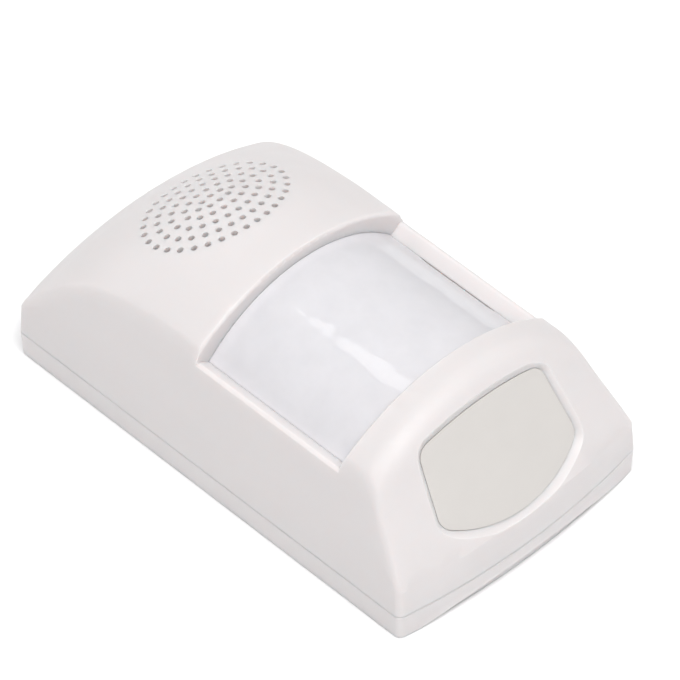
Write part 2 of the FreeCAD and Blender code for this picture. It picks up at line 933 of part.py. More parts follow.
def spring_contact(side):
    """Coil spring that presses on the flat end of the battery, with its plate."""
    x = side * battery_x
    flat_end = battery_near if side > 0 else battery_far
    away = -1 if side > 0 else 1
    room = spring_room - contact_thickness
    pitch = (room - 2 * spring_wire) / spring_turns
    path = Part.makeHelix(pitch, pitch * spring_turns, spring_radius)
    start = V(spring_radius, 0, 0)
    circle = Part.Wire([Part.Circle(start, V(0, 1, 0), spring_wire).toShape()])
    coil = Part.Wire(path.Edges).makePipeShell([circle], True, True)
    coil.rotate(V(0, 0, 0), V(1, 0, 0), -90 * away)
    coil.translate(V(x, flat_end + away * spring_wire, battery_z))
    plate_y = flat_end + away * room
    ends = sorted((plate_y, plate_y + away * contact_thickness))
    plate = box(x - contact_half, x + contact_half, ends[0], ends[1],
                battery_z - contact_half, battery_z + contact_half)
    return Part.makeCompound([coil, plate])


# Speaker under the grille

def turned(points):
    """Solid of revolution about the speaker's axis from radius and height pairs."""
    corners = [V(r, 0, z) for r, z in points]
    face = Part.Face(Part.makePolygon(corners + corners[:1]))
    solid = face.revolve(V(0, 0, 0), V(0, 0, 1), 360)
    solid.translate(V(0, speaker_y, speaker_top))
    return solid


def speaker_gasket():
    ring = rod(speaker_radius, 0, speaker_y, speaker_top, duct_end)
    return ring.cut(rod(duct_radius - gasket_lap, 0, speaker_y, speaker_top, duct_end))


def speaker_frame():
    """Pressed basket with a seat for the cone's edge and a floor on the magnet."""
    mouth = speaker_radius - surround_width
    outer = basket_radius + basket_sheet
    hub = magnet_radius - magnet_lap
    back = magnet_height - speaker_depth
    points = [
        (speaker_radius, 0),
        (speaker_radius, -speaker_flange),
        (mouth + basket_sheet, -speaker_flange),
        (outer, -basket_drop),
        (outer, back),
        (hub, back),
        (hub, back + basket_sheet),
        (basket_radius, back + basket_sheet),
        (basket_radius, -basket_drop + basket_sheet),
        (mouth, -speaker_flange),
        (mouth, -surround_seat),
        (mouth + surround_lap, -surround_seat),
        (mouth + surround_lap, 0),
    ]
    return turned(points)


def speaker_magnet():
    back = magnet_height - speaker_depth
    return turned([(0, back), (magnet_radius, back), (magnet_radius, -speaker_depth), (0, -speaker_depth)])


def speaker_cone():
    edge = speaker_radius - surround_width + surround_lap
    valley = -cone_drop - surround_seat
    points = [
        (edge, -surround_seat),
        (edge - surround_run, -surround_seat),
        (dome_radius, valley),
        (0, valley + dome_rise),
    ]
    upper = [(r, z + cone_thickness) for r, z in reversed(points)]
    return turned(points + upper)


def speaker_clamp():
    low = clamp_top - clamp_thickness
    ring = rod(speaker_radius, 0, speaker_y, low, clamp_top)
    for side in (1, -1):
        ring = ring.fuse(rod(clamp_ring, side * clamp_ear, speaker_y, low, clamp_top))
    near = speaker_y - clamp_ring
    far = speaker_y + clamp_ring
    ears = box(-clamp_ear, clamp_ear, near, far, low, clamp_top)
    ring = ring.fuse(ears).removeSplitter()
    mouth = speaker_radius - surround_width + basket_sheet + clamp_gap
    ring = ring.cut(rod(mouth, 0, speaker_y, low, clamp_top))
    for side in (1, -1):
        hole = rod(small_screw_radius + hole_gap, side * clamp_ear, speaker_y, low, clamp_top)
        ring = ring.cut(hole)
    return ring


def clamp_screws():
    z = clamp_top - clamp_thickness
    length = clamp_thickness + small_grip - tip_gap
    sizes = (small_screw_radius, small_head_radius, small_head, length)
    return Part.makeCompound([screw(side * clamp_ear, speaker_y, z, *sizes) for side in (1, -1)])


# Leads from the speaker to their socket on the main board

def lead_socket():
    low = socket_y - socket_width / 2
    top = board_top + socket_height
    return box(-socket_half, socket_half, low, low + socket_width, board_top, top)


def speaker_leads():
    pieces = []
    start_z = speaker_top - speaker_depth + magnet_height
    start_y = speaker_y - basket_radius
    low_z = board_top + socket_height / 2
    turn = math.sqrt(0.5) * lead_bend
    for side in (1, -1):
        x = side * lead_x
        a = V(x, start_y, start_z)
        b = V(x, start_y, low_z + lead_bend)
        m = V(x, start_y - lead_bend + turn, low_z + lead_bend - turn)
        c = V(x, start_y - lead_bend, low_z)
        d = V(x, socket_y + socket_width / 2, low_z)
        path = [Part.makeLine(a, b), Part.Arc(b, m, c).toShape(), Part.makeLine(c, d)]
        circle = Part.Wire([Part.Circle(a, V(0, 0, 1), lead_radius).toShape()])
        pieces.append(Part.Wire(path).makePipeShell([circle], True, True))
    return Part.makeCompound(pieces)


# Light board and its bracket behind the window

def plane_level():
    """Distance of the straight part of the near face from the tilted base plane."""
    return face_level(0, (window_top + window_bottom) / 2)


def lamp_board_place():
    """Level of the light board's front face and where its lower edge starts."""
    level = plane_level() - wall - window_flange_thickness - lamp_board_gap
    angle = math.radians(near_slope)
    z = board_top + lamp_board_low
    start = (z - level * math.cos(angle)) / math.sin(angle)
    return level, start


def light_board():
    level, start = lamp_board_place()
    flat = box(-lamp_board_half, lamp_board_half, start, start + lamp_board_length,
               level - lamp_board_thickness, level)
    return tilted(flat)


def light_lamps():
    level, start = lamp_board_place()
    middle = start + lamp_board_length / 2
    pieces = []
    for i in range(lamp_columns):
        for j in range(lamp_rows):
            x = (i - (lamp_columns - 1) / 2) * lamp_pitch_x
            s = middle + (j - (lamp_rows - 1) / 2) * lamp_pitch_y
            flat = box(x - lamp_width / 2, x + lamp_width / 2, s - lamp_length / 2, s + lamp_length / 2,
                       level, level + lamp_height)
            pieces.append(tilted(flat))
    return Part.makeCompound(pieces)


def light_bracket():
    """Hollow wedge that carries the light board at the slope of the window."""
    level, start = lamp_board_place()
    back = level - lamp_board_thickness
    angle = math.radians(near_slope)
    top = start + lamp_board_length - bracket_short

    def place(s, depth):
        y = s * math.cos(angle) - (back - depth) * math.sin(angle)
        z = s * math.sin(angle) + (back - depth) * math.cos(angle)
        return y, z

    foot_s = (board_top - back * math.cos(angle)) / math.sin(angle)
    foot_y = place(foot_s, 0)[0]
    top_y, top_z = place(top, 0)
    rear_y = top_y + bracket_wall * 2
    outline = [(foot_y, board_top), (top_y, top_z), (rear_y, top_z), (rear_y, board_top)]
    shift = bracket_wall / math.sin(angle)
    past = rear_y + cut_past
    hollow = [(foot_y + shift, board_top), (top_y + shift, top_z), (past, top_z), (past, board_top)]

    def slab(corners, half):
        points = [V(-half, y, z) for y, z in corners]
        return Part.Face(Part.makePolygon(points + points[:1])).extrude(V(2 * half, 0, 0))

    return slab(outline, bracket_half).cut(slab(hollow, bracket_half - bracket_wall))


def light_connector():
    """Low pin housing that joins the light board's lower edge to the main board."""
    level, start = lamp_board_place()
    angle = math.radians(near_slope)
    y = start * math.cos(angle) - (level - lamp_board_thickness) * math.sin(angle)
    block = box(-connector_half, connector_half, y - connector_depth, y + connector_back,
                board_top, board_top + connector_height)
    flat = box(-width, width, start, start + lamp_board_length, level - lamp_board_thickness, level)
    return block.cut(tilted(flat)).cut(light_bracket())


def main():
    outer = front_body(0, 0, rear_depth)
    cavity = front_body(wall, wall, rear_depth - 1)
    pieces = {
        "front_housing": front_housing(outer, cavity),
        "rear_casing": rear_casing(),
        "light_window": light_window(cavity),
        "fresnel_lens": fresnel_lens(),
        "lens_frame": lens_frame(),
        "lens_frame_screws": lens_frame_screws(),
        "case_screws": case_screws(),
        "main_board": main_board(),
        "board_screws": board_screws(),
        "sensor_holder": sensor_holder(),
        "pyro_sensor": pyro_sensor(),
        "pyro_filter": pyro_filter(),
        "control_chip": control_chip(),
        "radio_module": radio_module(),
        "storage_capacitors": storage_capacitors(),
        "battery_holder_left": battery_holder(-1),
        "battery_holder_right": battery_holder(1),
        "battery_left": battery(-1),
        "battery_right": battery(1),
        "plate_contact_left": plate_contact(-1),
        "plate_contact_right": plate_contact(1),
        "spring_contact_left": spring_contact(-1),
        "spring_contact_right": spring_contact(1),
        "speaker_gasket": speaker_gasket(),
        "speaker_frame": speaker_frame(),
        "speaker_magnet": speaker_magnet(),
        "speaker_cone": speaker_cone(),
        "speaker_clamp": speaker_clamp(),
        "clamp_screws": clamp_screws(),
        "lead_socket": lead_socket(),
        "speaker_leads": speaker_leads(),
        "light_board": light_board(),
        "light_lamps": light_lamps(),
        "light_bracket": light_bracket(),
        "light_connector": light_connector(),
    }
    for name, shape in pieces.items():
        write(shape, name)
        print(name, shape.isValid(), len(shape.Solids), round(shape.Volume, 1))


main()
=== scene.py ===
"""Looks of a wall motion sensor that lies on its back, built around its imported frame."""

import logging
import math
from dataclasses import dataclass, field
from enum import Enum
from typing import Optional

import bmesh
import bpy
import numpy as np
from mathutils import Matrix, Vector


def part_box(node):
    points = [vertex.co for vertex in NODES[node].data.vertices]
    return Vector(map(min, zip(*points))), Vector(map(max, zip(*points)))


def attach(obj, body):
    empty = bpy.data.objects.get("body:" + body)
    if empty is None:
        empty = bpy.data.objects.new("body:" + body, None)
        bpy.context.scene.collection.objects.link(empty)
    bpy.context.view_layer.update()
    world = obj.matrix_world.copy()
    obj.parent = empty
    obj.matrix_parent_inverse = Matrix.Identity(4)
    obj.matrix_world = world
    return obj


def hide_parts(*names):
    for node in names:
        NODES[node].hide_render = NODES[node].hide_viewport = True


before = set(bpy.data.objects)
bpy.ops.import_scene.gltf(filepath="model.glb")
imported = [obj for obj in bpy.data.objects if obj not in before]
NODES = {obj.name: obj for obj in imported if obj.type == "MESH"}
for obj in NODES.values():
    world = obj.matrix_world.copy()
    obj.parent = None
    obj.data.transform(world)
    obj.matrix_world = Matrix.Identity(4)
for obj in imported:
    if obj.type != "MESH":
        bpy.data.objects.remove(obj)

MM = 0.001
WELD = 0.002 * MM
CREASE = math.radians(33.0)
BODY = "root"
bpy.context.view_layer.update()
log = logging.getLogger("motion_sensor")

Colour = tuple[float, float, float]
Factors = tuple[float, float, float]
Grid = np.ndarray


class Outline(Enum):
    """Outline of a light panel."""

    RECTANGLE = "RECTANGLE"
    ELLIPSE = "ELLIPSE"


class Reach(Enum):
    """What a cell pattern measures the distance to."""

    MIDDLE = "F1"
    BORDER = "DISTANCE_TO_EDGE"


# Shader nodes


class Wiring:
    """Adds and joins the shader nodes of one material."""

    def __init__(self, name: str) -> None:
        """Starts a material with its own Principled shader.

        Args:
            name: Name of the material.
        """
        self.material = bpy.data.materials.new(name)
        self.material.use_nodes = True
        self.tree = self.material.node_tree
        self.shader = self.tree.nodes["Principled BSDF"]
        self.place = self.add("ShaderNodeTexCoord").outputs["Object"]

    def add(self, kind: str, **options: object) -> bpy.types.Node:
        """Adds a node and sets its options.

        Args:
            kind: Blender's name of the node type.
            options: Attributes to set on the node.

        Returns:
            The new node.
        """
        node = self.tree.nodes.new(kind)
        for key, value in options.items():
            setattr(node, key, value)
        return node

    def link(self, source: bpy.types.NodeSocket, target: bpy.types.NodeSocket) -> None:
        """Joins an output to an input."""
        self.tree.links.new(source, target)

    def settle(self, **values: object) -> None:
        """Sets constant values on the shader's own sockets, named with spaces as underscores."""
        for key, value in values.items():
            self.shader.inputs[key.replace("_", " ")].default_value = value

    def stretched(self, factors: Factors) -> bpy.types.NodeSocket:
        """Object coordinates multiplied along each axis.

        Args:
            factors: One for x, one for y and one for z.

        Returns:
            The multiplied coordinates.
        """
        mapping = self.add("ShaderNodeMapping")
        mapping.inputs["Scale"].default_value = factors
        self.link(self.place, mapping.inputs["Vector"])
        return mapping.outputs["Vector"]

    def noise(
        self, size_mm: float, detail: float = 2.0, rough: float = 0.5,
        vector: Optional[bpy.types.NodeSocket] = None,
    ) -> bpy.types.NodeSocket:
        """Soft noise whose blotches are about size_mm across.

        Args:
            size_mm: Size of one blotch in millimetres.
            detail: Number of finer octaves.
            rough: Weight of the finer octaves.
            vector: Coordinates to read instead of the object's own.

        Returns:
            A value from 0 to 1.
        """
        node = self.add("ShaderNodeTexNoise")
        node.inputs["Scale"].default_value = 1 / (size_mm * MM)
        node.inputs["Detail"].default_value = detail
        node.inputs["Roughness"].default_value = rough
        self.link(vector or self.place, node.inputs["Vector"])
        return node.outputs["Fac"]

    def cells(self, size_mm: float, reach: Reach = Reach.MIDDLE) -> bpy.types.NodeSocket:
        """Distances in a pattern of irregular cells.

        Args:
            size_mm: Size of one cell in millimetres.
            reach: What the distance is measured to.

        Returns:
            The distance, where 1 is about the size of a cell.
        """
        node = self.add("ShaderNodeTexVoronoi", feature=reach.value)
        node.inputs["Scale"].default_value = 1 / (size_mm * MM)
        self.link(self.place, node.inputs["Vector"])
        return node.outputs["Distance"]

    def spread(
        self, value: bpy.types.NodeSocket, low: float, high: float,
        to_low: float = 0.0, to_high: float = 1.0,
    ) -> bpy.types.NodeSocket:
        """Maps a range of a value onto another range, and goes no further than its ends.

        Args:
            value: The value.
            low: Start of its range.
            high: End of its range.
            to_low: What the start becomes.
            to_high: What the end becomes.

        Returns:
            The mapped value.
        """
        node = self.add("ShaderNodeMapRange", clamp=True)
        for key, number in zip(("From Min", "From Max", "To Min", "To Max"), (low, high, to_low, to_high)):
            node.inputs[key].default_value = number
        self.link(value, node.inputs["Value"])
        return node.outputs["Result"]

    def blend(self, share: bpy.types.NodeSocket, a: Colour, b: Colour) -> bpy.types.NodeSocket:
        """Mixes two colours.

        Args:
            share: Share of the second colour, from 0 to 1.
            a: The first colour.
            b: The second colour.

        Returns:
            The mixed colour.
        """
        node = self.add("ShaderNodeMix", data_type="RGBA")
        node.inputs["A"].default_value = (*a, 1.0)
        node.inputs["B"].default_value = (*b, 1.0)
        self.link(share, node.inputs["Factor"])
        return node.outputs["Result"]

    def tint(self, share: bpy.types.NodeSocket, a: Colour, b: Colour) -> None:
        """Gives the shader a base colour between a and b."""
        self.link(self.blend(share, a, b), self.shader.inputs["Base Color"])

    def roughen(
        self, value: bpy.types.NodeSocket, low: float, high: float, smooth: float, rough: float
    ) -> None:
        """Gives the shader a roughness from smooth to rough as the value goes from low to high."""
        self.link(self.spread(value, low, high, smooth, rough), self.shader.inputs["Roughness"])

    def relief(self, height: bpy.types.NodeSocket, depth_mm: float, strength: float = 1.0) -> None:
        """Adds a bump of the given depth to what the shader's normal already has.

        Args:
            height: Height from 0 to 1.
            depth_mm: Depth of the relief in millimetres.
            strength: Weight of the bump.
        """
        node = self.add("ShaderNodeBump")
        node.inputs["Strength"].default_value = strength
        node.inputs["Distance"].default_value = depth_mm * MM
        self.link(height, node.inputs["Height"])
        normal = self.shader.inputs["Normal"]
        if normal.is_linked:
            self.link(normal.links[0].from_socket, node.inputs["Normal"])
        self.link(node.outputs["Normal"], normal)


def lighter(colour: Colour, factor: float) -> Colour:
    """A colour multiplied by a factor, kept within what a surface can reflect."""
    return tuple(min(c * factor, 0.95) for c in colour)


# Finishes


@dataclass(frozen=True)
class MouldedPlastic:
    """Injection moulded plastic with a fine spark-eroded grain and faint flow marks."""

    name: str
    colour: Colour
    roughness: float = 0.42
    smoother: float = 0.04
    rougher: float = 0.05
    patch_mm: float = 5.0
    grain_mm: float = 0.22
    grain_depth: float = 0.006
    flow_mm: float = 14.0
    flow_stretch: Factors = (1.0, 0.45, 1.0)
    cloud: float = 0.02
    depth: float = 0.0
    glow_mm: float = 2.2
    glow_reach: Colour = (1.0, 0.85, 0.8)
    gloss: float = 0.45

    def material(self) -> bpy.types.Material:
        """Makes the plastic's material.

        Returns:
            A material with grain, clouding and a slight change of gloss.
        """
        w = Wiring(self.name)
        flow = w.noise(self.flow_mm, 3.0, 0.55, w.stretched(self.flow_stretch))
        w.tint(w.spread(flow, 0.3, 0.7), lighter(self.colour, 1 - self.cloud), self.colour)
        w.roughen(w.noise(self.patch_mm, 3.0), 0.3, 0.7,
                  self.roughness - self.smoother, self.roughness + self.rougher)
        w.relief(w.noise(self.grain_mm, 2.0, 0.6), self.grain_depth, 0.6)
        w.settle(Specular_IOR_Level=self.gloss)
        if self.depth:
            w.settle(Subsurface_Weight=self.depth, Subsurface_Radius=self.glow_reach,
                     Subsurface_Scale=self.glow_mm * MM)
        return w.material


@dataclass(frozen=True)
class LensFilm:
    """Milky polyethylene film with a slight waviness left by forming."""

    name: str
    colour: Colour
    roughness: float = 0.03
    rougher: float = 0.03
    patch_mm: float = 3.0
    cloud_mm: float = 6.0
    darkest: float = 0.975
    lightest: float = 1.02
    dimple_mm: float = 0.9
    dimple_depth: float = 0.0015
    depth: float = 0.35
    glow_mm: float = 1.0
    glow_reach: Colour = (0.8, 0.9, 1.0)
    gloss: float = 0.3

    def material(self) -> bpy.types.Material:
        """Makes the film's material.

        Returns:
            A material with faint clouding and depth.
        """
        w = Wiring(self.name)
        cloud = w.spread(w.noise(self.cloud_mm, 3.0, 0.6), 0.32, 0.7)
        w.tint(cloud, lighter(self.colour, self.darkest), lighter(self.colour, self.lightest))
        w.roughen(w.noise(self.patch_mm, 2.0), 0.3, 0.75, self.roughness, self.roughness + self.rougher)
        w.relief(w.noise(self.dimple_mm, 2.0, 0.5), self.dimple_depth, 0.3)
        w.settle(Subsurface_Weight=self.depth, Subsurface_Radius=self.glow_reach,
                 Subsurface_Scale=self.glow_mm * MM, Specular_IOR_Level=self.gloss)
        return w.material


@dataclass(frozen=True)
class MilkyPane:
    """Opal pane with a dull, finely grained front."""

    name: str
    colour: Colour
    roughness: float = 0.3
    uneven: float = 0.02
    patch_mm: float = 2.0
    cloud_mm: float = 6.0
    darkest: float = 0.985
    lightest: float = 1.01
    grain_mm: float = 0.3
    grain_depth: float = 0.004
    gloss: float = 0.5

    def material(self) -> bpy.types.Material:
        """Makes the pane's material.

        Returns:
            A dull opal material with a fine grain.
        """
        w = Wiring(self.name)
        cloud = w.spread(w.noise(self.cloud_mm, 3.0, 0.5), 0.2, 0.8)
        w.tint(cloud, lighter(self.colour, self.darkest), lighter(self.colour, self.lightest))
        w.roughen(w.noise(self.patch_mm, 3.0), 0.2, 0.8,
                  self.roughness - self.uneven, self.roughness + self.uneven)
        w.relief(w.noise(self.grain_mm, 2.0, 0.5), self.grain_depth, 0.5)
        w.settle(Specular_IOR_Level=self.gloss)
        return w.material


@dataclass(frozen=True)
class Metal:
    """Plated or drawn metal with fine marks along one axis."""

    name: str
    colour: Colour
    roughness: float = 0.3
    smoother: float = 0.08
    rougher: float = 0.12
    along: Factors = (1.0, 0.06, 1.0)
    mark_mm: float = 0.35
    mark_depth: float = 0.004
    patch_mm: float = 2.5
    darkest: float = 0.85

    def material(self) -> bpy.types.Material:
        """Makes the metal's material.

        Returns:
            A material with fine marks along one axis.
        """
        w = Wiring(self.name)
        marks = w.noise(self.mark_mm, 3.0, 0.6, w.stretched(self.along))
        patches = w.spread(w.noise(self.patch_mm, 3.0), 0.3, 0.7)
        w.tint(patches, lighter(self.colour, self.darkest), self.colour)
        w.roughen(marks, 0.25, 0.75, self.roughness - self.smoother, self.roughness + self.rougher)
        w.relief(marks, self.mark_depth, 0.4)
        w.settle(Metallic=1.0)
        return w.material


@dataclass(frozen=True)
class CircuitBoard:
    """Solder mask over copper tracks and pads."""

    name: str
    mask: Colour = (0.02, 0.13, 0.05)
    track: Colour = (0.05, 0.24, 0.10)
    pad: Colour = (0.55, 0.52, 0.46)
    track_mm: float = 3.2
    track_edge: tuple[float, float] = (0.05, 0.07)
    pad_mm: float = 2.1
    pad_edge: tuple[float, float] = (0.14, 0.17)
    smoothest: float = 0.22
    roughest: float = 0.34
    patch_mm: float = 1.5
    mask_depth: float = 0.03

    def material(self) -> bpy.types.Material:
        """Makes the board's material from cells for tracks and small discs for pads.

        Returns:
            A material with tracks that stand out of the mask.
        """
        w = Wiring(self.name)
        lines = w.spread(w.cells(self.track_mm, Reach.BORDER), *self.track_edge, 1.0, 0.0)
        dots = w.spread(w.cells(self.pad_mm), *self.pad_edge, 1.0, 0.0)
        ground = w.blend(lines, self.mask, self.track)
        mix = w.add("ShaderNodeMix", data_type="RGBA")
        mix.inputs["B"].default_value = (*self.pad, 1.0)
        w.link(ground, mix.inputs["A"])
        w.link(dots, mix.inputs["Factor"])
        w.link(mix.outputs["Result"], w.shader.inputs["Base Color"])
        w.roughen(w.noise(self.patch_mm, 2.0), 0.3, 0.7, self.smoothest, self.roughest)
        w.relief(lines, self.mask_depth, 0.5)
        return w.material


@dataclass(frozen=True)
class Rubbery:
    """Soft dull surface with fine pores, painted darker towards their middles as painted shade, for foam,
    sleeves and lead insulation.
    """

    name: str
    colour: Colour
    roughness: float = 0.7
    smoother: float = 0.06
    rougher: float = 0.08
    patch_mm: float = 1.2
    pore_mm: float = 0.4
    pore_depth: float = 0.05
    # Colour factor at each pore's middle: painted shade in the pores.
    darkest: float = 0.75

    def material(self) -> bpy.types.Material:
        """Makes the soft material.

        Returns:
            A dull material with pores, with painted shade in their middles.
        """
        w = Wiring(self.name)
        pores = w.cells(self.pore_mm)
        # Painted shade: each pore's colour darkens towards its sunken middle.
        w.tint(w.spread(pores, 0.0, 0.6), lighter(self.colour, self.darkest), self.colour)
        w.roughen(w.noise(self.patch_mm, 2.0), 0.3, 0.7,
                  self.roughness - self.smoother, self.roughness + self.rougher)
        w.relief(pores, self.pore_depth, 0.5)
        return w.material


Finish = MouldedPlastic | LensFilm | MilkyPane | Metal | CircuitBoard | Rubbery

HOUSING = MouldedPlastic("satin_white", (0.730, 0.698, 0.697), depth=0.9)
INNER = MouldedPlastic("inner_white", (0.74, 0.735, 0.72), roughness=0.5)
RESIN = MouldedPlastic("black_resin", (0.025, 0.025, 0.028), roughness=0.5, grain_mm=0.12)
IVORY = MouldedPlastic("ivory_nylon", (0.74, 0.69, 0.56), roughness=0.45)
LAMP = MouldedPlastic("lamp_resin", (0.86, 0.74, 0.36), roughness=0.2, depth=0.3)
FILM = LensFilm("lens_film", (0.690, 0.680, 0.705))
PANE = MilkyPane("milky_pane", (0.642, 0.616, 0.591))
STEEL = Metal("plated_steel", (0.66, 0.65, 0.63))
CAN = Metal("drawn_can", (0.72, 0.71, 0.69), roughness=0.22, along=(1.0, 1.0, 0.08))
BASKET = MouldedPlastic("coated_basket", (0.03, 0.03, 0.032), roughness=0.38)
CONE = Rubbery("cone_film", (0.10, 0.10, 0.11), roughness=0.5, pore_mm=0.8, pore_depth=0.02)
FOAM = Rubbery("gasket_foam", (0.10, 0.10, 0.10))
SLEEVE = MouldedPlastic("battery_sleeve", (0.04, 0.05, 0.07), roughness=0.25, grain_mm=0.6, grain_depth=0.002)
LEAD = Rubbery("lead_insulation", (0.36, 0.03, 0.03), roughness=0.4, pore_mm=0.3, pore_depth=0.01)
GREEN = CircuitBoard("solder_mask")
FILTER = MouldedPlastic("dark_filter", (0.04, 0.035, 0.04), roughness=0.12, grain_depth=0.001)


class FinishShelf:
    """Keeps one material for each finish, so that pieces share it."""

    def __init__(self) -> None:
        """Starts with no material made."""
        self.made: dict[str, bpy.types.Material] = {}

    def take(self, finish: Finish) -> bpy.types.Material:
        """Gives the material of a finish, and makes it the first time.

        Args:
            finish: The finish.

        Returns:
            Its one material.
        """
        if finish.name not in self.made:
            self.made[finish.name] = finish.material()
        return self.made[finish.name]


SHELF = FinishShelf()


# Meshes


def piece_from(
    name: str, points: Grid, faces: Grid, finish: Finish
) -> bpy.types.Object:
    """Makes a piece of the object from arrays, in millimetres.

    Args:
        name: Name of the piece.
        points: Vertices, one row of three each.
        faces: Quads or triangles, one row of indices each.
        finish: Finish of the piece.

    Returns:
        The new object, which rides on the body.
    """
    mesh = bpy.data.meshes.new(name)
    mesh.from_pydata((points * MM).tolist(), [], faces.tolist())
    return settle_piece(name, mesh, finish)


def settle_piece(name: str, mesh: bpy.types.Mesh, finish: Finish) -> bpy.types.Object:
    """Puts a finished mesh into the scene as a piece with its finish, riding on the body.

    Its faces shade as one form, apart from edges that turn by more than CREASE.

    Args:
        name: Name of the piece.
        mesh: The piece's mesh, in place.
        finish: Finish of the piece.

    Returns:
        The new object, which rides on the body.
    """
    mesh.validate()
    mesh.polygons.foreach_set("use_smooth", np.ones(len(mesh.polygons), bool))
    mesh.set_sharp_from_angle(angle=CREASE)
    piece = bpy.data.objects.new(name, mesh)
    bpy.context.scene.collection.objects.link(piece)
    mesh.materials.clear()
    mesh.materials.append(SHELF.take(finish))
    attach(piece, BODY)
    return piece


def merged_copy(node: str, swell_mm: float) -> bpy.types.Mesh:
    """A copy of a CAD node's mesh, joined at its corners and free of its stored normals.

    Args:
        node: Name of the CAD node.
        swell_mm: How far its surface moves outwards.

    Returns:
        The joined mesh.
    """
    mesh = NODES[node].data.copy()
    form = bmesh.new()
    form.from_mesh(mesh)
    bmesh.ops.remove_doubles(form, verts=form.verts, dist=WELD)
    form.to_mesh(mesh)
    form.free()
    for layer in ("custom_normal", "sharp_edge"):
        if layer in mesh.attributes:
            mesh.attributes.remove(mesh.attributes[layer])
    if swell_mm:
        place = np.empty(3 * len(mesh.vertices))
        normal = np.empty(3 * len(mesh.vertices))
        mesh.vertices.foreach_get("co", place)
        mesh.vertex_normals.foreach_get("vector", normal)
        mesh.vertices.foreach_set("co", place + swell_mm * MM * normal)
    return mesh


def polished(node: str, finish: Finish, swell_mm: float = 0.0) -> bpy.types.Object:
    """Stands a smoothly shaded copy of a CAD node in for it.

    Args:
        node: Name of the CAD node.
        finish: Finish of the piece.
        swell_mm: How far the copy's surface moves outwards.

    Returns:
        The copy, which replaces the node.
    """
    piece = settle_piece(node + "_dressed", merged_copy(node, swell_mm), finish)
    even = piece.modifiers.new("even_shading", "WEIGHTED_NORMAL")
    even.keep_sharp = True
    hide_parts(node)
    return piece


def dress(node: str, finish: Finish) -> bpy.types.Object:
    """Gives a CAD node its finish.

    Args:
        node: Name of the CAD node.
        finish: Its finish.

    Returns:
        The node's object.
    """
    mesh = NODES[node].data
    mesh.materials.clear()
    mesh.materials.append(SHELF.take(finish))
    return NODES[node]


# Sub-assemblies


@dataclass
class Casing:
    """The two moulded shells and the screws that join them."""

    def build(self) -> list[bpy.types.Object]:
        """Polishes both shells and the case screws.

        Returns:
            Its pieces.
        """
        return [
            polished("front_housing", HOUSING),
            polished("rear_casing", HOUSING),
            polished("case_screws", STEEL),
        ]


@dataclass
class Window:
    """The opal pane at the lower end."""

    swell_mm: float = 0.12

    def build(self) -> list[bpy.types.Object]:
        """Polishes the pane and lets it fill most of its gap."""
        return [polished("light_window", PANE, self.swell_mm)]


@dataclass(frozen=True)
class FilmShape:
    """Sizes of the lens sheet in millimetres, with the small departures of a formed film.

    The film sinks towards its near end and is faintly wavy. It fills most of the gaps at its
    far end and sides, by lift and close, and its right edge bows away from the ledge between
    bow_far and bow_near. The spans in radians say over which part of the arch, next to its
    ends, the waves and the gaps' filling fade.
    """

    radius: float = 34.3
    film: float = 0.6
    bend: float = 0.5
    across: int = 171
    along: int = 131
    sink: float = 0.3
    sink_from: float = -0.5
    lift: float = 0.14
    wave: float = 0.019
    wave_sizes: tuple[float, float] = (3.0, 9.0)
    waves: int = 16
    seed: int = 11
    close: float = 0.19
    bow: float = 0.1
    bow_far: float = -1.0
    bow_near: float = -24.0
    bow_fade: float = 3.0
    wave_span: float = 0.15
    side_span: float = 0.2
    leg_points: int = 5
    turn_points: int = 5
    columns: int = 9
    rows: int = 3
    ring: float = 1.4
    facet: float = 0.1


